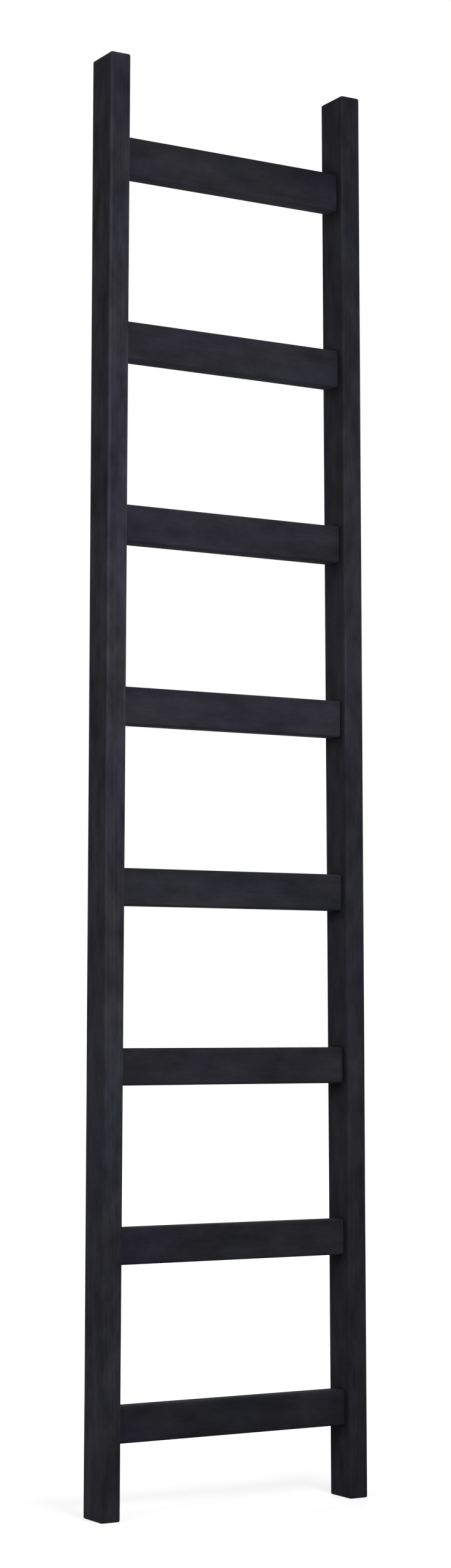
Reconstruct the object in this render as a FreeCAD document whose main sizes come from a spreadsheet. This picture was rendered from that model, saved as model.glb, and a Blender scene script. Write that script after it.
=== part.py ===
import FreeCAD, Part
import os
import Sketcher

# A decorative wooden ladder. Two stiles stand wider apart at the floor than at the top, flat rungs are
# centred between them, and glued dowels hide in both ends of every rung.
# Millimetres: +Z up, +X to the right, +Y towards the wall behind. The origin is on the floor, midway
# between the feet and midway through the depth of the stiles.

SIZES = {
    # The whole ladder
    "ladder_height": 2000,   # floor to the square-cut top of the stiles
    "top_width": 400,        # over both stiles, at the top
    "foot_width": 440,       # over both stiles, at the floor
    # Stiles
    "stile_width": 31,       # the front face, measured level
    "stile_depth": 55,       # the side face, front to back
    "stile_rounding": 4,     # radius of the long edges
    "end_rounding": 2.5,     # radius around the top and the foot
    # Rungs
    "rung_count": 8,
    "rung_height": 52,       # the front face
    "rung_thickness": 29,    # front to back
    "rung_rounding": 4,      # radius of the long edges
    "foot_margin": 132,      # floor to the middle of the lowest rung
    "top_margin": 132,       # top of the stiles to the middle of the highest rung
    # Dowels
    "dowels_per_end": 2,
    "dowel_spacing": 26,     # between the dowels of one rung end
    "dowel_diameter": 8,
    "dowel_length": 40,
    "dowel_chamfer": 1,      # on both ends of a dowel
    "dowel_in_stile": 18,    # the rest of the dowel is in the rung
    "glue_gap": 0.1,         # around a dowel in its hole
    "hole_end_room": 1.5,    # past the end of a dowel, for glue
    "drill_overrun": 5,      # how far outside the wood a hole is started
}

FULL_TURN = 360
HALF_TURN = 180
RUNG_ENDS = 2
UPRIGHT = FreeCAD.Vector(0, 0, 1)
ACROSS = FreeCAD.Vector(1, 0, 0)
ALONG_SHARE = 0.9  # an edge counts as lying along a direction when its own direction matches by this share
CUT_ERROR_SHARE = 0.01  # repeated holes take out the same volume as the first ones, to within this share

# Places that several pieces share, as formulas over the sizes
RUNG_RUN = "(sizes.ladder_height - sizes.foot_margin - sizes.top_margin)"
STILE_LEAN = "((sizes.foot_width - sizes.top_width) / 2 / sizes.ladder_height)"
RUN_ALONG_STILE = f"({RUNG_RUN} * sqrt(1 + {STILE_LEAN} ^ 2))"
HOLE_RADIUS = "(sizes.dowel_diameter / 2 + sizes.glue_gap)"
DOWEL_IN_RUNG = "(sizes.dowel_length - sizes.dowel_in_stile)"


def inner_face(height):
    """Distance from the ladder's middle to a stile's inner face, at a height above the floor."""
    return f"(sizes.foot_width / 2 - sizes.stile_width - {STILE_LEAN} * ({height}))"


def rung_middle(number):
    """Height of the middle of a rung, counted from 0 for the lowest."""
    return f"(sizes.foot_margin + {RUNG_RUN} * {number} / (sizes.rung_count - 1))"


def dowel_offsets():
    """Heights of the dowels of one rung end, from the rung's middle, lowest first."""
    count = int(sizes.dowels_per_end)
    return [f"({number} - (sizes.dowels_per_end - 1) / 2) * sizes.dowel_spacing" for number in range(count)]


def value(formula):
    return float(sizes.evalExpression(formula))


def fill_sheet(sheet):
    for row, (name, size) in enumerate(SIZES.items(), start=1):
        sheet.set(f"A{row}", name)
        sheet.set(f"B{row}", str(size))
        sheet.setAlias(f"B{row}", name)


def new_body(label):
    body = doc.addObject("PartDesign::Body", label)
    body.Label = label
    return body


def origin_plane(body, role):
    return next(feature for feature in body.Origin.OriginFeatures if feature.Role == role)


def new_sketch(body, name, plane_role):
    sketch = body.newObject("Sketcher::SketchObject", name)
    sketch.AttachmentSupport = [(origin_plane(body, plane_role), "")]
    sketch.MapMode = "FlatFace"
    return sketch


def tie_point(sketch, geometry, point, across, up):
    """Holds one point of a sketch at two formulas, measured from the sketch's origin."""
    for kind, formula in (("DistanceX", across), ("DistanceY", up)):
        measure = Sketcher.Constraint(kind, -1, 1, geometry, point, value(formula))
        index = sketch.addConstraint(measure)
        name = f"{kind}_{index}"
        sketch.renameConstraint(index, name)
        sketch.setExpression(f"Constraints.{name}", formula)


def draw_outline(sketch, corners):
    """Draws a closed outline whose corners are pairs of formulas."""
    points = [FreeCAD.Vector(value(across), value(up), 0) for across, up in corners]
    lines = []
    for start, end in zip(points, points[1:] + points[:1]):
        lines.append(sketch.addGeometry(Part.LineSegment(start, end), False))
    for line, following in zip(lines, lines[1:] + lines[:1]):
        sketch.addConstraint(Sketcher.Constraint("Coincident", line, 2, following, 1))
    for line, (across, up) in zip(lines, corners):
        tie_point(sketch, line, 1, across, up)


def draw_axis(sketch, start, end):
    """Draws a construction line between two places, each a pair of formulas."""
    places = [FreeCAD.Vector(value(across), value(up), 0) for across, up in (start, end)]
    line = sketch.addGeometry(Part.LineSegment(*places), True)
    tie_point(sketch, line, 1, *start)
    tie_point(sketch, line, 2, *end)


def draw_drill_marks(sketch, middle):
    """Draws the round holes of one rung end, one above the other."""
    for offset in dowel_offsets():
        up = f"{middle} + {offset}"
        centre = FreeCAD.Vector(0, value(up), 0)
        circle = sketch.addGeometry(Part.Circle(centre, FreeCAD.Vector(0, 0, 1), value(HOLE_RADIUS)), False)
        tie_point(sketch, circle, 3, "0", up)
        index = sketch.addConstraint(Sketcher.Constraint("Radius", circle, value(HOLE_RADIUS)))
        name = f"Radius_{index}"
        sketch.renameConstraint(index, name)
        sketch.setExpression(f"Constraints.{name}", HOLE_RADIUS)


def pad_both_ways(body, name, sketch, depth):
    pad = body.newObject("PartDesign::Pad", name)
    pad.Profile = sketch
    pad.SideType = "Symmetric"
    pad.setExpression("Length", depth)
    return pad


def round_edges(body, name, base, radius, chosen):
    """Rounds the edges of the body so far that a test picks."""
    doc.recompute()
    edges = [f"Edge{number}" for number, edge in enumerate(base.Shape.Edges, start=1) if chosen(edge)]
    fillet = body.newObject("PartDesign::Fillet", name)
    fillet.Base = (base, edges)
    fillet.setExpression("Radius", radius)
    return fillet


def lies_along(direction):
    def test(edge):
        span = edge.Vertexes[-1].Point - edge.Vertexes[0].Point
        return abs(span.dot(direction)) > ALONG_SHARE * span.Length
    return test


def is_level(edge):
    span = edge.Vertexes[-1].Point - edge.Vertexes[0].Point
    return abs(span.dot(UPRIGHT)) < (1 - ALONG_SHARE) * span.Length


def drill(body, name, sketch, depth, reverse):
    pocket = body.newObject("PartDesign::Pocket", name)
    pocket.Profile = sketch
    pocket.Reversed = reverse
    pocket.setExpression("Length", depth)
    return pocket


def make_stile(label):
    """A straight upright that leans inwards, cut level at both ends and drilled for every rung's dowels."""
    body = new_body(label)
    profile = new_sketch(body, label + "_front", "XZ_Plane")
    foot_outer = ("sizes.foot_width / 2", "0")
    foot_inner = (inner_face("0"), "0")
    top_outer = ("sizes.top_width / 2", "sizes.ladder_height")
    top_inner = (inner_face("sizes.ladder_height"), "sizes.ladder_height")
    draw_outline(profile, [foot_inner, foot_outer, top_outer, top_inner])
    draw_axis(profile, foot_inner, top_inner)
    bar = pad_both_ways(body, label + "_bar", profile, "sizes.stile_depth")
    eased = round_edges(body, label + "_eased", bar, "sizes.stile_rounding", lies_along(UPRIGHT))
    ends = round_edges(body, label + "_ends", eased, "sizes.end_rounding", is_level)
    marks = new_sketch(body, label + "_drill_marks", "YZ_Plane")
    draw_drill_marks(marks, rung_middle(0))
    depth = f"{inner_face(rung_middle(0))} + sizes.dowel_in_stile + sizes.hole_end_room"
    holes = drill(body, label + "_holes", marks, depth, True)
    pattern = body.newObject("PartDesign::LinearPattern", label + "_all_holes")
    pattern.Originals = [holes]
    pattern.Direction = (profile, ["Axis0"])
    pattern.setExpression("Length", RUN_ALONG_STILE)
    pattern.setExpression("Occurrences", "sizes.rung_count")
    body.Tip = pattern
    drillings.append((ends, holes, pattern, int(sizes.rung_count)))
    return body


def make_rung(label, number):
    """A flat rung on edge, its ends cut to the lean of the stiles and drilled for dowels."""
    body = new_body(label)
    middle = rung_middle(number)
    body.setExpression("Placement.Base.z", middle)
    low_half = inner_face(f"{middle} - sizes.rung_height / 2")
    high_half = inner_face(f"{middle} + sizes.rung_height / 2")
    front = new_sketch(body, label + "_front", "XZ_Plane")
    low = "-sizes.rung_height / 2"
    high = "sizes.rung_height / 2"
    corners = [("-" + low_half, low), (low_half, low), (high_half, high), ("-" + high_half, high)]
    draw_outline(front, corners)
    bar = pad_both_ways(body, label + "_bar", front, "sizes.rung_thickness")
    eased = round_edges(body, label + "_eased", bar, "sizes.rung_rounding", lies_along(ACROSS))
    marks = new_sketch(body, label + "_drill_marks", "YZ_Plane")
    marks.setExpression("AttachmentOffset.Base.z", f"{low_half} + sizes.drill_overrun")
    draw_drill_marks(marks, "0")
    hole_bottom = f"{inner_face(middle)} - {DOWEL_IN_RUNG} - sizes.hole_end_room"
    depth = f"{low_half} + sizes.drill_overrun - ({hole_bottom})"
    holes = drill(body, label + "_right_holes", marks, depth, False)
    mirrored = body.newObject("PartDesign::Mirrored", label + "_both_holes")
    mirrored.Originals = [holes]
    mirrored.MirrorPlane = (origin_plane(body, "YZ_Plane"), [""])
    body.Tip = mirrored
    drillings.append((eased, holes, mirrored, RUNG_ENDS))
    return body


def make_dowels(label):
    """All the dowels of one side: the lowest is turned, then repeated up the rung end and up the stile."""
    body = new_body(label)
    axis_height = f"({rung_middle(0)} + {dowel_offsets()[0]})"
    seam = inner_face(rung_middle(0))
    inner_end = f"({seam} - {DOWEL_IN_RUNG})"
    outer_end = f"({seam} + sizes.dowel_in_stile)"
    shoulder = f"({axis_height} + sizes.dowel_diameter / 2 - sizes.dowel_chamfer)"
    side = f"({axis_height} + sizes.dowel_diameter / 2)"
    section = new_sketch(body, label + "_section", "XZ_Plane")
    corners = [
        (inner_end, axis_height),
        (outer_end, axis_height),
        (outer_end, shoulder),
        (f"{outer_end} - sizes.dowel_chamfer", side),
        (f"{inner_end} + sizes.dowel_chamfer", side),
        (inner_end, shoulder),
    ]
    draw_outline(section, corners)
    draw_axis(section, corners[0], corners[1])
    draw_axis(section, (inner_face("0"), "0"), (inner_face("sizes.ladder_height"), "sizes.ladder_height"))
    peg = body.newObject("PartDesign::Revolution", label + "_first")
    peg.Profile = section
    peg.ReferenceAxis = (section, ["Axis0"])
    peg.Angle = FULL_TURN
    pattern = body.newObject("PartDesign::LinearPattern", label + "_all")
    pattern.Originals = [peg]
    pattern.Direction = (section, ["Axis1"])
    pattern.setExpression("Length", RUN_ALONG_STILE)
    pattern.setExpression("Occurrences", "sizes.rung_count")
    pattern.Direction2 = (section, ["V_Axis"])
    pattern.setExpression("Length2", "(sizes.dowels_per_end - 1) * sizes.dowel_spacing")
    pattern.setExpression("Occurrences2", "sizes.dowels_per_end")
    body.Tip = pattern
    return body


def turn_to_left(body):
    """The left side is the right side turned half round about the ladder's upright middle line."""
    body.Placement = FreeCAD.Placement(FreeCAD.Vector(0, 0, 0), FreeCAD.Rotation(UPRIGHT, HALF_TURN))


def check(pieces):
    for feature in doc.Objects:
        if "Invalid" in feature.State or "Error" in feature.State:
            raise ValueError(f"{feature.Label} failed: {feature.State}")
    for plain, first, drilled, times in drillings:
        first_cut = plain.Shape.Volume - first.Shape.Volume
        all_cuts = plain.Shape.Volume - drilled.Shape.Volume
        if first_cut <= 0 or abs(all_cuts / times - first_cut) > CUT_ERROR_SHARE * first_cut:
            raise ValueError(f"{drilled.Label} doesn't cut every hole")
    for piece, solid_count in pieces.items():
        if piece.Shape.isNull() or not piece.Shape.isValid():
            raise ValueError(f"{piece.Label} has no sound shape")
        if len(piece.Shape.Solids) != solid_count:
            raise ValueError(f"{piece.Label} has {len(piece.Shape.Solids)} solids, not {solid_count}")


doc = FreeCAD.newDocument("decorative_ladder")
sizes = doc.addObject("Spreadsheet::Sheet", "sizes")
fill_sheet(sizes)
doc.recompute()

drillings = []
rung_count = int(sizes.rung_count)
dowel_count = rung_count * int(sizes.dowels_per_end)
left_stile = make_stile("left_stile")
right_stile = make_stile("right_stile")
rungs = [make_rung(f"rung_{number + 1}", number) for number in range(rung_count)]
left_dowels = make_dowels("left_dowels")
right_dowels = make_dowels("right_dowels")
turn_to_left(left_stile)
turn_to_left(left_dowels)
doc.recompute()

pieces = {piece: 1 for piece in [left_stile, right_stile, *rungs]}
pieces[left_dowels] = dowel_count
pieces[right_dowels] = dowel_count
check(pieces)
os.makedirs("parts", exist_ok=True)
for piece in pieces:
    piece.Shape.exportStep(f"parts/{piece.Label}.step")
    print(piece.Label, round(piece.Shape.Volume), piece.Shape.BoundBox)
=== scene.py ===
"""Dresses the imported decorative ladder: black-stained wood stiles and rungs, studio floor, light and camera."""

import math

import bmesh
import bpy
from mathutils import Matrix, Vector


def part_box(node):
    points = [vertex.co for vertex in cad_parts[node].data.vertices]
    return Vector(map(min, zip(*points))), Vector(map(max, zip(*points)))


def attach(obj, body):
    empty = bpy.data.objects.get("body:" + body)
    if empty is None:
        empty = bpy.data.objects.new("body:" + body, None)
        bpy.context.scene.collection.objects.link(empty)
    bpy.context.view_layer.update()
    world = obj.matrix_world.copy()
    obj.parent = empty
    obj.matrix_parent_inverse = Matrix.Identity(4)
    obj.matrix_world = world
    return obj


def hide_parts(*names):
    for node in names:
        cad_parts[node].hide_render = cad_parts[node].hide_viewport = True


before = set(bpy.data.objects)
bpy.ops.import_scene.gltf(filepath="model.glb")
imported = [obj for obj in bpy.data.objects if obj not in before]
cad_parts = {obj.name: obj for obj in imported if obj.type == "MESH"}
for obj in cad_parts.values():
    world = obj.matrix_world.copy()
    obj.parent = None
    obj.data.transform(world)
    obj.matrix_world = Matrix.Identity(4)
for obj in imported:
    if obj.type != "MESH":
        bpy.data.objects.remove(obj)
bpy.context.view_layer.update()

MM = 0.001
QUARTER_TURN = math.radians(90)
ALONG_X = 0
ALONG_Z = 2

# Sizes of the pieces come from the frame. The inner faces of the stiles are where the rungs end.
RUNG_COUNT = 8
RUNGS = [f"rung_{number}" for number in range(1, RUNG_COUNT + 1)]
lowest_rung_low, lowest_rung_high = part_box(RUNGS[0])
top_rung_low, top_rung_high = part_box(RUNGS[-1])
stile_low, stile_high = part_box("right_stile")

LADDER_HEIGHT = stile_high.z - stile_low.z
LEAN = (lowest_rung_high.x - top_rung_high.x) / (top_rung_low.z - lowest_rung_low.z)
INNER_AT_FLOOR = lowest_rung_high.x + LEAN * lowest_rung_low.z
STILE_WIDTH = stile_high.x - INNER_AT_FLOOR
STILE_DEPTH = stile_high.y - stile_low.y
RUNG_HEIGHT = lowest_rung_high.z - lowest_rung_low.z
RUNG_THICKNESS = lowest_rung_high.y - lowest_rung_low.y
LEAN_ANGLE = math.atan(LEAN)

# How the timber is worked. The arrises and the stiles' ends are rounded as on the solids. The eased rung ends, the
# sander's unevenness and the raised grain are too fine for the solids, and are added here.
ARRIS_ROUNDING = 4 * MM
ARRIS_STEPS = 6
ROUND_PROFILE = 0.5
STILE_END_EASING = 2.5 * MM
STILE_EASING_STEPS = 4
RUNG_END_EASING = 0.8 * MM
RUNG_EASING_STEPS = 2
SMOOTH_BELOW = math.radians(35)
SPARE_LENGTH = 20 * MM
STRIP_WIDTH = 1.8 * MM
SLICE_LENGTH = 8 * MM
SLICES_IN_A_LENGTH = 15
SANDING_DEPTH = 0.30 * MM
SANDING_WAVE = 28 * MM
SANDING_STEPS = 1
GRAIN_DEPTH = 0.05 * MM
GRAIN_WAVE = 7 * MM
GRAIN_STEPS = 2
ALONG_TO_ACROSS = 9.0
NEARLY_WHOLE = 0.9
SAME_PLACE = 0.001 * MM
ON_THE_CUT = 0.01 * MM

# Where the arrises are paler, part wear and part painted highlight, as a share of the most, and where painted shade
# darkens the corners round the rung ends.
RUB_AND_HIGHLIGHT_REACH = 5.5 * MM
# The paler arris mark, part wear and part painted highlight, is absent low down and full high up.
NO_RUB_OR_HIGHLIGHT_BELOW = 500 * MM
FULL_RUB_AND_HIGHLIGHT_ABOVE = 1300 * MM
LEFT_STILE_RUB_AND_HIGHLIGHT = 1.0
RIGHT_STILE_RUB_AND_HIGHLIGHT = 0.4
RUNG_RUB_AND_HIGHLIGHT = 0.6
# How far the painted shade reaches from each rung end: beside it, below it and above it.
PAINTED_SHADE_REACH_BESIDE = 10 * MM
PAINTED_SHADE_REACH_BELOW = 20 * MM
PAINTED_SHADE_REACH_ABOVE = 6 * MM

# Blind holes for the glued dowels, two in each rung end, as in the solids.
DOWEL_SPACING = 26 * MM
HOLE_RADIUS = 4.1 * MM
HOLE_SIDES = 32
HOLE_DEPTH_IN_STILE = 19.5 * MM
HOLE_DEPTH_IN_RUNG = 23.5 * MM
DRILL_OVERRUN = 5 * MM

# Patterns in the stained wood: each one's width across the grain, its length along the grain in widths, and the
# detail and roughness of its noise. Real fibre streaks are under 1 mm wide and real pores about a quarter as wide as
# here, so both are drawn coarse enough to show in the render.
STAIN_PATTERNS = {
    "streaks": (5 * MM, 24, 2.0, 0.5),
    "mottles": (20 * MM, 2.5, 3.0, 0.6),
    "pores": (1 * MM, 16, 2.0, 0.5),
    "patches": (100 * MM, 2.5, 2.0, 0.5),
    "drift": (70 * MM, 2.5, 1.0, 0.5),
}

# Growth rings lie round a pith outside the bar, which wanders slowly along it. A wave texture of scale 1 repeats
# every 0.314 m.
RING_SPACING = 6 * MM
WAVE_REPEAT = 0.314
PITH_PLACE = (55 * MM, 38 * MM, 300 * MM)
PITH_WANDER = 0.05

# How much of each thing shows in the stained wood, from 0 to 1.
STREAKS_IN_FIGURE = 0.8
PORE_SHARE = 0.4
# The paler arrises are part wear and part painted highlight.
RUB_AND_HIGHLIGHT_SHARE = 0.5
# The black in the corners round the rung ends is painted shade.
PAINTED_SHADE_SHARE = 0.7

# Colours of the woods and the studio, in sRGB.
GREY_CAST = "#f3f5f3"
VIOLET_CAST = "#eee9ff"
SLATE_CAST = "#e6f2f8"
PORE_BLACK = "#151417"
# The grey of the paler arrises, part wear and part painted highlight.
RUB_AND_HIGHLIGHT_GREY = "#47464d"
# The black of the painted shade in the corners round the rung ends.
PAINTED_SHADE_BLACK = "#0d0c10"
END_GRAIN_DARK = "#28282b"
END_GRAIN_PALE = "#343438"
BEECH_PALE = "#cfa77e"
BEECH_FLECK = "#a97c56"
PAPER_GREY = "#b8b8b8"
WHITE = "#ffffff"

# How the woods shine and how deep their relief is, with the pores sunk below the figure. Flecks on a dowel are 1 mm
# wide and six times as long.
WOOD_IOR = 1.5
STAIN_SPECULAR = 0.04
STAIN_ROUGHNESS = (0.78, 0.90)
END_GRAIN_ROUGHNESS = 0.95
STAIN_RELIEF = 0.2 * MM
PORE_SINKS = -0.6
BEECH_ROUGHNESS = 0.65
BEECH_RELIEF = 0.1 * MM
FLECK_WIDTH = 1 * MM
FLECK_LENGTH = 6

# The Mix node's sockets go by number, because those for numbers and those for colours have the same names.
NUMBER_A, NUMBER_B, NUMBER_OUT = 2, 3, 0
COLOUR_A, COLOUR_B, COLOUR_OUT = 6, 7, 2

# The floor in metres, its glow near the ladder and further off, and the light from the white surroundings.
FLOOR_SIZE = 60
GLOW_NEAR_WITHIN = 0.25
GLOW_FULL_BEYOND = 1.6
GLOW_NEAR = 0.68
GLOW_FULL = 1.0
SURROUNDINGS_FILL = 0.34
SURROUNDINGS_WHITE = 1.0

# The camera, as fitted to the photograph's edges. The picture is 736 by 2560 pixels.
PICTURE_HEIGHT = 2560
CAMERA_TURN = math.radians(30.637)
CAMERA_DISTANCE = 4.0519
CAMERA_HEIGHT = 0.6865
CAMERA_SIDESTEP = -0.0042
CAMERA_TIP_DOWN = 0.04197
FOCAL_PIXELS = 4680.7
CENTRE_LINE_PIXEL = 1869.3
SENSOR_MM = 36.0
CAMERA_REACH = 200


def deselect_everything():
    """Nothing is selected, and object mode is on."""
    if bpy.context.object and bpy.context.object.mode != "OBJECT":
        bpy.ops.object.mode_set(mode="OBJECT")
    bpy.ops.object.select_all(action="DESELECT")


def take_up(piece):
    """Makes one piece the only selected and the active one."""
    deselect_everything()
    piece.select_set(True)
    bpy.context.view_layer.objects.active = piece


def choose_edges(piece, wanted):
    """In edit mode, selects the edges whose two ends pass a test, and gives the length of the longest."""
    mesh = bmesh.from_edit_mesh(piece.data)
    for face in mesh.faces:
        face.select_set(False)
    for edge in mesh.edges:
        edge.select_set(False)
    chosen = [edge for edge in mesh.edges if wanted(edge.verts[0].co, edge.verts[1].co)]
    for edge in chosen:
        edge.select_set(True)
    longest = max(edge.calc_length() for edge in chosen)
    bmesh.update_edit_mesh(piece.data)
    return longest


def runs_along(axis):
    """A test for edges that run along one axis."""
    others = [other for other in range(3) if other != axis]

    def test(start, end):
        return all(abs(start[other] - end[other]) < SAME_PLACE for other in others) and start != end

    return test


def planed_blank(name, section, along):
    """A bar of timber at the origin: its long arrises rounded, its faces in strips and its length in slices.

    section gives its width in X, Y and Z, with the length in the axis that along names."""
    deselect_everything()
    bpy.ops.mesh.primitive_cube_add(size=1.0, location=(0, 0, 0))
    blank = bpy.context.object
    blank.name = name
    blank.scale = section
    bpy.ops.object.transform_apply(location=False, rotation=False, scale=True)
    bpy.ops.object.mode_set(mode="EDIT")
    bpy.ops.mesh.select_mode(type="EDGE")

    lengthwise = runs_along(along)
    choose_edges(blank, lengthwise)
    bpy.ops.mesh.bevel(offset=ARRIS_ROUNDING, segments=ARRIS_STEPS, profile=ROUND_PROFILE, affect="EDGES")

    for across in range(3):
        if across == along:
            continue
        flat = section[across] - 2 * ARRIS_ROUNDING
        crosswise = runs_along(across)

        def spans_flat(start, end):
            return crosswise(start, end) and (end - start).length > NEARLY_WHOLE * flat

        choose_edges(blank, spans_flat)
        bpy.ops.mesh.subdivide(number_cuts=round(flat / STRIP_WIDTH) - 1)

    # One subdivide makes at most a hundred cuts, so the length is first cut into lengths and these into slices.
    for cut_length in (SLICE_LENGTH * SLICES_IN_A_LENGTH, SLICE_LENGTH):
        longest = choose_edges(blank, lengthwise)
        bpy.ops.mesh.subdivide(number_cuts=max(1, round(longest / cut_length) - 1))
    bpy.ops.object.mode_set(mode="OBJECT")
    return blank


def copy_of(blank, name, place):
    """A copy with its own mesh, moved to its place."""
    take_up(blank)
    bpy.ops.object.duplicate(linked=False)
    piece = bpy.context.object
    piece.name = name
    piece.data.name = name
    piece.location = place
    bpy.ops.object.transform_apply(location=True, rotation=False, scale=False)
    return piece


def sink_faces(piece, along, depth, wave, steps, name):
    """Sinks a soft unevenness, drawn out along the grain, into the faces. Nothing rises above the true face."""
    take_up(piece)
    stretch = [wave] * 3
    stretch[along] = wave * ALONG_TO_ACROSS
    guide = bpy.data.objects.new(name + "_guide", None)
    bpy.context.scene.collection.objects.link(guide)
    guide.scale = stretch
    bpy.context.view_layer.update()
    unevenness = bpy.data.textures.new(name, "CLOUDS")
    unevenness.noise_scale = 1.0
    unevenness.noise_depth = steps
    bpy.ops.object.modifier_add(type="DISPLACE")
    sink = piece.modifiers[-1]
    sink.texture = unevenness
    sink.texture_coords = "OBJECT"
    sink.texture_coords_object = guide
    sink.direction = "NORMAL"
    sink.mid_level = 1.0
    sink.strength = depth
    bpy.ops.object.modifier_apply(modifier=sink.name)
    bpy.data.objects.remove(guide)
    bpy.data.textures.remove(unevenness)


def work_surface(piece, along, name):
    """Sands a bar by hand, which leaves it slightly uneven, and raises its grain with the stain."""
    sink_faces(piece, along, SANDING_DEPTH, SANDING_WAVE, SANDING_STEPS, name + "_sanding")
    sink_faces(piece, along, GRAIN_DEPTH, GRAIN_WAVE, GRAIN_STEPS, name + "_grain")


def saw_off(piece, point, outward):
    """Saws a piece through at a plane, keeps the side behind it and closes the cut."""
    take_up(piece)
    bpy.ops.object.mode_set(mode="EDIT")
    bpy.ops.mesh.select_all(action="SELECT")
    bpy.ops.mesh.bisect(plane_co=point, plane_no=outward, use_fill=True, clear_outer=True)
    bpy.ops.object.mode_set(mode="OBJECT")


def ease_cut(piece, point, outward, easing, steps):
    """Rounds over the rim of a sawn end."""
    point, outward = Vector(point), Vector(outward).normalized()
    take_up(piece)
    bpy.ops.object.mode_set(mode="EDIT")
    bpy.ops.mesh.select_mode(type="EDGE")

    def lies_on_cut(place):
        return abs((place - point).dot(outward)) < ON_THE_CUT

    choose_edges(piece, lambda start, end: lies_on_cut(start) and lies_on_cut(end))
    bpy.ops.mesh.bevel(offset=easing, segments=steps, profile=ROUND_PROFILE, affect="EDGES")
    bpy.ops.object.mode_set(mode="OBJECT")


def inner_face(height):
    """How far the inner face of a stile is from the ladder's middle at a height."""
    return INNER_AT_FLOOR - LEAN * height


def rung_middle(name):
    """The height of a rung's middle."""
    low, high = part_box(name)
    return (low.z + high.z) / 2


def drill(piece, mouths, into, depth):
    """Drills blind holes along X from their mouths. into is 1 to the right and -1 to the left."""
    deselect_everything()
    bits = []
    for mouth in mouths:
        middle = Vector(mouth) + Vector((into * (depth - DRILL_OVERRUN) / 2, 0, 0))
        bpy.ops.mesh.primitive_cylinder_add(
            vertices=HOLE_SIDES, radius=HOLE_RADIUS, depth=depth + DRILL_OVERRUN,
            location=middle, rotation=(0, QUARTER_TURN, 0),
        )
        bits.append(bpy.context.object)
    for bit in bits:
        bit.select_set(True)
    bpy.ops.object.join()
    all_bits = bpy.context.object
    take_up(piece)
    bpy.ops.object.modifier_add(type="BOOLEAN")
    cut = piece.modifiers[-1]
    cut.operation = "DIFFERENCE"
    cut.solver = "MANIFOLD"
    cut.object = all_bits
    bpy.ops.object.modifier_apply(modifier=cut.name)
    bpy.data.objects.remove(all_bits)
    take_up(piece)
    bpy.ops.object.mode_set(mode="EDIT")
    bpy.ops.mesh.select_all(action="SELECT")
    bpy.ops.mesh.remove_doubles(threshold=ON_THE_CUT)
    bpy.ops.object.mode_set(mode="OBJECT")


def hole_mouths(side, rung_names):
    """Where the dowel holes of some rungs open on one side: on the seam of stile and rung, one above the other."""
    mouths = []
    for name in rung_names:
        for step in (-0.5, 0.5):
            height = rung_middle(name) + step * DOWEL_SPACING
            mouths.append((side * inner_face(height), 0, height))
    return mouths


def mark_rub_and_highlight(piece, edge_distances, amount):
    """Writes a paler mark on the arrises, part wear and part painted highlight, absent below one height and full
    above another.
    """
    rub_and_highlight = piece.data.attributes.new("rub_and_highlight", "FLOAT", "POINT")
    for vertex, store in zip(piece.data.vertices, rub_and_highlight.data):
        second_nearest = sorted(edge_distances(vertex.co))[1]
        on_arris = max(0.0, 1.0 - second_nearest / RUB_AND_HIGHLIGHT_REACH)
        rub_and_highlight_height = (vertex.co.z - NO_RUB_OR_HIGHLIGHT_BELOW) / (FULL_RUB_AND_HIGHLIGHT_ABOVE - NO_RUB_OR_HIGHLIGHT_BELOW)
        store.value = amount * on_arris * min(1.0, max(0.0, rub_and_highlight_height))


def mark_painted_corner_shade(stile, side):
    """Writes painted shade on the inner face, in the corners round each rung end where the rung shades the stile,
    reaching furthest below it.
    """
    painted_corner_shade = stile.data.attributes.new("painted_corner_shade", "FLOAT", "POINT")
    middles = [rung_middle(name) for name in RUNGS]
    for vertex, store in zip(stile.data.vertices, painted_corner_shade.data):
        x, y, z = vertex.co
        if abs(side * x - inner_face(z)) > ARRIS_ROUNDING:
            continue
        above = z - min(middles, key=lambda middle: abs(z - middle))
        beside = max(0.0, abs(y) - RUNG_THICKNESS / 2) / PAINTED_SHADE_REACH_BESIDE
        reach = PAINTED_SHADE_REACH_ABOVE if above > 0 else PAINTED_SHADE_REACH_BELOW
        beyond = max(0.0, abs(above) - RUNG_HEIGHT / 2) / reach
        store.value = max(0.0, 1.0 - math.hypot(beside, beyond))


def finish_piece(piece, material, node):
    """Smooth shading, the finish, and the CAD node that the piece stands for."""
    take_up(piece)
    bpy.ops.object.shade_smooth_by_angle(angle=SMOOTH_BELOW)
    piece.data.materials.clear()
    piece.data.materials.append(material)
    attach(piece, "root")
    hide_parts(node)


def linear(hex_colour):
    """An sRGB hex colour as the linear colour that a shader takes."""
    parts = [int(hex_colour[at:at + 2], 16) / 255 for at in (1, 3, 5)]
    return tuple(p / 12.92 if p <= 0.04045 else ((p + 0.055) / 1.055) ** 2.4 for p in parts) + (1.0,)


def add(tree, kind, inputs=None, **settings):
    """Adds a node with its settings. An input is given a value, or the output that it is linked to."""
    node = tree.nodes.new(kind)
    for name, value in settings.items():
        setattr(node, name, value)
    for name, value in (inputs or {}).items():
        if isinstance(value, bpy.types.NodeSocket):
            tree.links.new(value, node.inputs[name])
        else:
            node.inputs[name].default_value = value
    return node


def new_material(name):
    """An empty node material and its tree."""
    material = bpy.data.materials.new(name)
    material.use_nodes = True
    material.node_tree.nodes.clear()
    return material, material.node_tree


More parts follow.
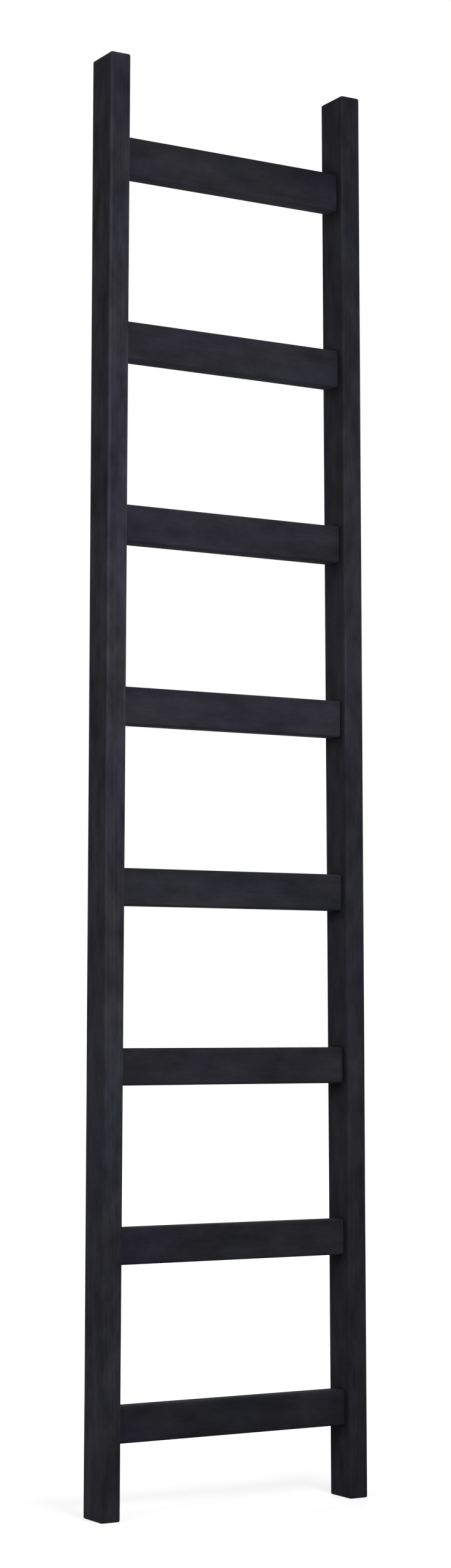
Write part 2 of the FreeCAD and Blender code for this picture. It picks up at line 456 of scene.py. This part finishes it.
def black_stained_wood(name, turn_grain, end_axis, stains, mottled, drifting, tone_start, cast_start):
    """Solid light wood, sanded and stained nearly black under a thin matt topcoat.

    The stain is a blue-black dye that the wood drinks unevenly. The eye gets soft mottling and faint streaks along
    the grain, a slow drift along each bar in tone and towards grey, violet or slate blue, a low sheen broken up by
    the fibres, paler arrises that are part wear and part painted highlight, painted shade in the corners round the
    rung ends, and greyer, duller end grain. stains are the darkest and the palest. drifting is how much of the
    unevenness is slow drift, and mottled how much of the rest is mottling rather than grain. tone_start and
    cast_start are where in the drift of the tone and of the cast the board was cut."""
    material, tree = new_material(name)
    place = add(tree, "ShaderNodeTexCoord").outputs["Object"]
    # The grain lies along Z of the turned coordinates.
    grained = add(tree, "ShaderNodeMapping", {"Vector": place, "Rotation": turn_grain}).outputs["Vector"]

    pith = add(
        tree, "ShaderNodeMapping",
        {"Vector": grained, "Location": PITH_PLACE, "Scale": (1, 1, PITH_WANDER)},
    ).outputs["Vector"]
    rings = add(
        tree, "ShaderNodeTexWave",
        {"Vector": pith, "Scale": WAVE_REPEAT / RING_SPACING, "Distortion": 9.0, "Detail": 2.0,
         "Detail Scale": 0.35, "Detail Roughness": 0.6},
        wave_type="RINGS", rings_direction="Z", wave_profile="SIN",
    ).outputs["Fac"]
    # Fibre streaks, mottles where the wood drank more or less stain, pores, patches of another cast, and the slow
    # drift of the tone.
    starts = {"patches": cast_start, "drift": tone_start}
    patterns = {}
    for pattern, (width, length, detail, unevenness) in STAIN_PATTERNS.items():
        drawn_out = add(
            tree, "ShaderNodeMapping",
            {"Vector": grained, "Location": starts.get(pattern, (0, 0, 0)), "Scale": (1, 1, 1 / length)},
        ).outputs["Vector"]
        patterns[pattern] = add(
            tree, "ShaderNodeTexNoise",
            {"Vector": drawn_out, "Scale": 1 / width, "Detail": detail, "Roughness": unevenness},
        ).outputs["Fac"]

    # Tone: the grain's figure, then the mottles, then the drift.
    figure = add(
        tree, "ShaderNodeMix",
        {"Factor": STREAKS_IN_FIGURE, NUMBER_A: rings, NUMBER_B: patterns["streaks"]},
        data_type="FLOAT",
    ).outputs[NUMBER_OUT]
    drunk = add(
        tree, "ShaderNodeMix",
        {"Factor": mottled, NUMBER_A: figure, NUMBER_B: patterns["mottles"]},
        data_type="FLOAT",
    ).outputs[NUMBER_OUT]
    uneven = add(
        tree, "ShaderNodeMix",
        {"Factor": drifting, NUMBER_A: drunk, NUMBER_B: patterns["drift"]},
        data_type="FLOAT",
    ).outputs[NUMBER_OUT]
    lightness = add(
        tree, "ShaderNodeMapRange",
        {"Value": uneven, "From Min": 0.33, "From Max": 0.67},
    ).outputs["Result"]
    stain = add(
        tree, "ShaderNodeMix",
        {"Factor": lightness, COLOUR_A: linear(stains[0]), COLOUR_B: linear(stains[1])},
        data_type="RGBA",
    ).outputs[COLOUR_OUT]

    # Cast: grey, violet in some patches and slate blue in others.
    violet = add(
        tree, "ShaderNodeMapRange",
        {"Value": patterns["patches"], "From Min": 0.46, "From Max": 0.66},
    ).outputs["Result"]
    slate = add(
        tree, "ShaderNodeMapRange",
        {"Value": patterns["patches"], "From Min": 0.44, "From Max": 0.34},
    ).outputs["Result"]
    grey_or_violet = add(
        tree, "ShaderNodeMix",
        {"Factor": violet, COLOUR_A: linear(GREY_CAST), COLOUR_B: linear(VIOLET_CAST)},
        data_type="RGBA",
    ).outputs[COLOUR_OUT]
    cast = add(
        tree, "ShaderNodeMix",
        {"Factor": slate, COLOUR_A: grey_or_violet, COLOUR_B: linear(SLATE_CAST)},
        data_type="RGBA",
    ).outputs[COLOUR_OUT]
    tinted = add(
        tree, "ShaderNodeMix",
        {"Factor": 1.0, COLOUR_A: stain, COLOUR_B: cast},
        data_type="RGBA", blend_type="MULTIPLY",
    ).outputs[COLOUR_OUT]

    # Pores hold more stain.
    pore = add(
        tree, "ShaderNodeMapRange",
        {"Value": patterns["pores"], "From Min": 0.58, "From Max": 0.74, "To Max": PORE_SHARE},
    ).outputs["Result"]
    pored = add(
        tree, "ShaderNodeMix",
        {"Factor": pore, COLOUR_A: tinted, COLOUR_B: linear(PORE_BLACK)},
        data_type="RGBA",
    ).outputs[COLOUR_OUT]

    # Paler arrises, part wear and part painted highlight, uneven along their length.
    rub_and_highlight = add(tree, "ShaderNodeAttribute", attribute_name="rub_and_highlight").outputs["Fac"]
    broken = add(tree, "ShaderNodeMath", {0: rub_and_highlight, 1: patterns["mottles"]}, operation="MULTIPLY").outputs[0]
    rub_and_highlight_level = add(
        tree, "ShaderNodeMapRange",
        {"Value": broken, "From Min": 0.10, "From Max": 0.50, "To Max": RUB_AND_HIGHLIGHT_SHARE},
    ).outputs["Result"]
    worn_and_highlighted = add(
        tree, "ShaderNodeMix",
        {"Factor": rub_and_highlight_level, COLOUR_A: pored, COLOUR_B: linear(RUB_AND_HIGHLIGHT_GREY)},
        data_type="RGBA",
    ).outputs[COLOUR_OUT]

    # Painted shade in the corners round the rung ends, darkest against the rung and reaching furthest below it.
    painted_corner_shade = add(tree, "ShaderNodeAttribute", attribute_name="painted_corner_shade").outputs["Fac"]
    corner_shade_amount = add(tree, "ShaderNodeMath", {0: painted_corner_shade, 1: PAINTED_SHADE_SHARE}, operation="MULTIPLY").outputs[0]
    cornered = add(
        tree, "ShaderNodeMix",
        {"Factor": corner_shade_amount, COLOUR_A: worn_and_highlighted, COLOUR_B: linear(PAINTED_SHADE_BLACK)},
        data_type="RGBA",
    ).outputs[COLOUR_OUT]

    # End grain faces along the bar.
    normal = add(tree, "ShaderNodeNewGeometry").outputs["Normal"]
    sides = add(tree, "ShaderNodeSeparateXYZ", {"Vector": normal}).outputs
    facing = add(tree, "ShaderNodeMath", {0: sides[end_axis]}, operation="ABSOLUTE").outputs[0]
    end = add(tree, "ShaderNodeMapRange", {"Value": facing, "From Min": 0.55, "From Max": 0.90}).outputs["Result"]
    end_colour = add(
        tree, "ShaderNodeMix",
        {"Factor": rings, COLOUR_A: linear(END_GRAIN_DARK), COLOUR_B: linear(END_GRAIN_PALE)},
        data_type="RGBA",
    ).outputs[COLOUR_OUT]
    colour = add(
        tree, "ShaderNodeMix",
        {"Factor": end, COLOUR_A: cornered, COLOUR_B: end_colour},
        data_type="RGBA",
    ).outputs[COLOUR_OUT]

    # The fibres break up the sheen, and the pores and the figure give a slight relief.
    sheen = add(
        tree, "ShaderNodeMapRange",
        {"Value": patterns["streaks"], "From Min": 0.3, "From Max": 0.7,
         "To Min": STAIN_ROUGHNESS[0], "To Max": STAIN_ROUGHNESS[1]},
    ).outputs["Result"]
    roughness = add(
        tree, "ShaderNodeMix",
        {"Factor": end, NUMBER_A: sheen, NUMBER_B: END_GRAIN_ROUGHNESS},
        data_type="FLOAT",
    ).outputs[NUMBER_OUT]
    height = add(
        tree, "ShaderNodeMath", {0: pore, 1: PORE_SINKS, 2: figure}, operation="MULTIPLY_ADD",
    ).outputs[0]
    relief = add(
        tree, "ShaderNodeBump", {"Strength": 0.2, "Distance": STAIN_RELIEF, "Height": height},
    ).outputs["Normal"]

    shader = add(
        tree, "ShaderNodeBsdfPrincipled",
        {"Base Color": colour, "Roughness": roughness, "Normal": relief, "IOR": WOOD_IOR,
         "Specular IOR Level": STAIN_SPECULAR},
    )
    add(tree, "ShaderNodeOutputMaterial", {"Surface": shader.outputs["BSDF"]})
    return material


def beech_dowel_wood(name):
    """Turned beech dowel rod, left bare for the glue: pale pinkish tan, fine short flecks along the rod, dull."""
    material, tree = new_material(name)
    place = add(tree, "ShaderNodeTexCoord").outputs["Object"]
    # The flecks run along X, as the dowels lie.
    along_rod = add(tree, "ShaderNodeMapping", {"Vector": place, "Scale": (1 / FLECK_LENGTH, 1, 1)}).outputs["Vector"]
    flecks = add(
        tree, "ShaderNodeTexNoise", {"Vector": along_rod, "Scale": 1 / FLECK_WIDTH, "Detail": 2.0},
    ).outputs["Fac"]
    fleck = add(tree, "ShaderNodeMapRange", {"Value": flecks, "From Min": 0.4, "From Max": 0.7}).outputs["Result"]
    colour = add(
        tree, "ShaderNodeMix",
        {"Factor": fleck, COLOUR_A: linear(BEECH_PALE), COLOUR_B: linear(BEECH_FLECK)},
        data_type="RGBA",
    ).outputs[COLOUR_OUT]
    relief = add(
        tree, "ShaderNodeBump", {"Strength": 0.3, "Distance": BEECH_RELIEF, "Height": flecks},
    ).outputs["Normal"]
    shader = add(
        tree, "ShaderNodeBsdfPrincipled",
        {"Base Color": colour, "Roughness": BEECH_ROUGHNESS, "IOR": WOOD_IOR, "Normal": relief},
    )
    add(tree, "ShaderNodeOutputMaterial", {"Surface": shader.outputs["BSDF"]})
    return material


def make_stile(blank, name, side, rub_and_highlight_level, material):
    """One stile: a planed bar leaned in by the ladder's taper, sawn level at floor and top, and eased there."""
    foot_middle = side * (INNER_AT_FLOOR + STILE_WIDTH / 2)
    stile = copy_of(blank, name + "_wood", (foot_middle, 0, LADDER_HEIGHT / 2))
    work_surface(stile, ALONG_Z, name)
    take_up(stile)
    bpy.ops.object.mode_set(mode="EDIT")
    bpy.ops.mesh.select_all(action="SELECT")
    bpy.ops.transform.rotate(
        value=side * LEAN_ANGLE, orient_axis="Y", center_override=(foot_middle, 0, 0),
    )
    bpy.ops.object.mode_set(mode="OBJECT")
    for level, outward in ((0.0, (0, 0, -1)), (LADDER_HEIGHT, (0, 0, 1))):
        saw_off(stile, (0, 0, level), outward)
        ease_cut(stile, (0, 0, level), outward, STILE_END_EASING, STILE_EASING_STEPS)
    drill(stile, hole_mouths(side, RUNGS), side, HOLE_DEPTH_IN_STILE)

    def to_edges(point):
        across = abs(point.x - foot_middle + side * LEAN * point.z)
        return (
            STILE_WIDTH / 2 - across,
            STILE_DEPTH / 2 - abs(point.y),
            min(point.z, LADDER_HEIGHT - point.z),
        )

    mark_rub_and_highlight(stile, to_edges, rub_and_highlight_level)
    mark_painted_corner_shade(stile, side)
    finish_piece(stile, material, name)


def make_rung(blank, name, material):
    """One rung: a planed bar at its height, sawn at both ends to the lean of the stiles that it meets."""
    middle = rung_middle(name)
    rung = copy_of(blank, name + "_wood", (0, 0, middle))
    work_surface(rung, ALONG_X, name)
    for side in (-1, 1):
        end = (side * inner_face(middle), 0, middle)
        outward = (side, 0, LEAN)
        saw_off(rung, end, outward)
        ease_cut(rung, end, outward, RUNG_END_EASING, RUNG_EASING_STEPS)
        drill(rung, hole_mouths(side, [name]), -side, HOLE_DEPTH_IN_RUNG)

    def to_edges(point):
        # Only the upper arrises get the paler mark, where things hang.
        return (
            RUNG_THICKNESS / 2 - abs(point.y),
            RUNG_HEIGHT / 2 - (point.z - middle),
        )

    mark_rub_and_highlight(rung, to_edges, RUNG_RUB_AND_HIGHLIGHT)
    finish_piece(rung, material, name)


def where_seen(tree):
    """1 where a surface is seen straight, in a mirror or through glass, and 0 where it only lights the object."""
    path = add(tree, "ShaderNodeLightPath").outputs
    seen = path["Is Camera Ray"]
    for ray in ("Is Glossy Ray", "Is Transmission Ray"):
        seen = add(tree, "ShaderNodeMath", {0: seen, 1: path[ray]}, operation="MAXIMUM").outputs[0]
    return seen


def soft_light(name, place, aim, size, watts):
    """A square soft box that faces a point on the ladder."""
    bpy.ops.object.light_add(type="AREA", location=place)
    lamp = bpy.context.object
    lamp.name = name
    lamp.data.shape = "SQUARE"
    lamp.data.size = size
    lamp.data.energy = watts
    lamp.rotation_euler = (Vector(aim) - Vector(place)).to_track_quat("-Z", "Y").to_euler()


# Pieces: the stiles and rungs replace their solids, and the dowels stay as they are.
UPRIGHT_GRAIN = (0, 0, 0)
CROSSWISE_GRAIN = (0, QUARTER_TURN, 0)
left_stile_wood = black_stained_wood(
    "black_stained_wood_left_stile", UPRIGHT_GRAIN, "Z", ("#1e1d21", "#3b3a40"), mottled=0.74, drifting=0.30,
    tone_start=(2.92, 0.41, 1.39), cast_start=(0.75, 2.75, 2.39),
)
right_stile_wood = black_stained_wood(
    "black_stained_wood_right_stile", UPRIGHT_GRAIN, "Z", ("#1e1d21", "#323136"), mottled=0.74, drifting=0.22,
    tone_start=(0.39, 0.33, 0.98), cast_start=(0.72, 0.70, 1.72),
)
rung_wood = black_stained_wood(
    "black_stained_wood_rungs", CROSSWISE_GRAIN, "X", ("#1f1f23", "#323137"), mottled=0.86, drifting=0.44,
    tone_start=(0.50, 2.83, 0.95), cast_start=(0.11, 2.87, 2.72),
)
stile_blank_length = LADDER_HEIGHT + 2 * SPARE_LENGTH
rung_blank_length = 2 * INNER_AT_FLOOR + 2 * SPARE_LENGTH
stile_blank = planed_blank("stile_blank", (STILE_WIDTH, STILE_DEPTH, stile_blank_length), ALONG_Z)
rung_blank = planed_blank("rung_blank", (rung_blank_length, RUNG_THICKNESS, RUNG_HEIGHT), ALONG_X)
make_stile(stile_blank, "left_stile", -1, LEFT_STILE_RUB_AND_HIGHLIGHT, left_stile_wood)
make_stile(stile_blank, "right_stile", 1, RIGHT_STILE_RUB_AND_HIGHLIGHT, right_stile_wood)
for rung_name in RUNGS:
    make_rung(rung_blank, rung_name, rung_wood)
deselect_everything()
bpy.data.objects.remove(stile_blank)
bpy.data.objects.remove(rung_blank)

dowel_wood = beech_dowel_wood("beech_dowel_wood")
for dowel_node in ("left_dowels", "right_dowels"):
    dowel_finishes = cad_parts[dowel_node].data.materials
    dowel_finishes.clear()
    dowel_finishes.append(dowel_wood)

# Floor, pale and plain. Where it is seen it glows almost white, and the lamps bring it up to white outside the
# ladder's soft shadow. Further off, where the lamps fade, the glow is all of it.
bpy.ops.mesh.primitive_plane_add(size=FLOOR_SIZE, location=(0, 0, 0))
floor = bpy.context.object
floor.name = "studio_floor"
paper, paper_tree = new_material("matt_white_paper")
floor_seen = where_seen(paper_tree)
spot = add(paper_tree, "ShaderNodeTexCoord").outputs["Object"]
away = add(paper_tree, "ShaderNodeVectorMath", {0: spot}, operation="LENGTH").outputs["Value"]
fade = add(
    paper_tree, "ShaderNodeMapRange",
    {"Value": away, "From Min": GLOW_NEAR_WITHIN, "From Max": GLOW_FULL_BEYOND,
     "To Min": GLOW_NEAR, "To Max": GLOW_FULL},
    interpolation_type="SMOOTHSTEP",
).outputs["Result"]
share = add(paper_tree, "ShaderNodeMath", {0: floor_seen, 1: fade}, operation="MULTIPLY").outputs[0]
matt = add(paper_tree, "ShaderNodeBsdfDiffuse", {"Color": linear(PAPER_GREY)}).outputs["BSDF"]
glow = add(paper_tree, "ShaderNodeEmission", {"Color": linear(WHITE), "Strength": share}).outputs["Emission"]
lit = add(paper_tree, "ShaderNodeAddShader", {0: matt, 1: glow}).outputs["Shader"]
add(paper_tree, "ShaderNodeOutputMaterial", {"Surface": lit})
floor.data.materials.append(paper)

# World: white where it is seen or mirrored, and a softer fill where it lights.
world = bpy.data.worlds.new("white_studio")
bpy.context.scene.world = world
world.use_nodes = True
sky = world.node_tree
sky.nodes.clear()
sky_seen = where_seen(sky)
fill = add(sky, "ShaderNodeBackground", {"Color": linear(WHITE), "Strength": SURROUNDINGS_FILL})
white = add(sky, "ShaderNodeBackground", {"Color": linear(WHITE), "Strength": SURROUNDINGS_WHITE})
both = add(
    sky, "ShaderNodeMixShader",
    {"Fac": sky_seen, 1: fill.outputs["Background"], 2: white.outputs["Background"]},
).outputs["Shader"]
add(sky, "ShaderNodeOutputWorld", {"Surface": both})

# Three soft boxes: the main one in front, one on the left that is aimed low, and one behind.
soft_light("key_soft_box", place=(-0.10, -1.30, 1.32), aim=(0, 0, 1.15), size=0.7, watts=16.6)
soft_light("left_soft_box", place=(-2.50, -0.67, 1.30), aim=(0, 0, 0.40), size=0.5, watts=18.5)
soft_light("soft_box_behind", place=(0.90, 1.40, 2.30), aim=(0, 0, 1.20), size=0.7, watts=12)

# Camera at the photograph's viewing angle.
bpy.ops.object.camera_add()
camera = bpy.context.object
camera.name = "photograph_camera"
ahead = Vector((math.sin(CAMERA_TURN), math.cos(CAMERA_TURN), 0))
to_right = Vector((math.cos(CAMERA_TURN), -math.sin(CAMERA_TURN), 0))
camera.location = -CAMERA_DISTANCE * ahead + CAMERA_SIDESTEP * to_right + Vector((0, 0, CAMERA_HEIGHT))
camera.rotation_euler = (QUARTER_TURN - CAMERA_TIP_DOWN, 0, -CAMERA_TURN)
camera.data.sensor_width = SENSOR_MM
camera.data.lens = SENSOR_MM * FOCAL_PIXELS / PICTURE_HEIGHT
camera.data.shift_y = (CENTRE_LINE_PIXEL - PICTURE_HEIGHT / 2) / PICTURE_HEIGHT
camera.data.clip_end = CAMERA_REACH
bpy.context.scene.camera = camera

bpy.context.scene.view_settings.view_transform = "Standard"
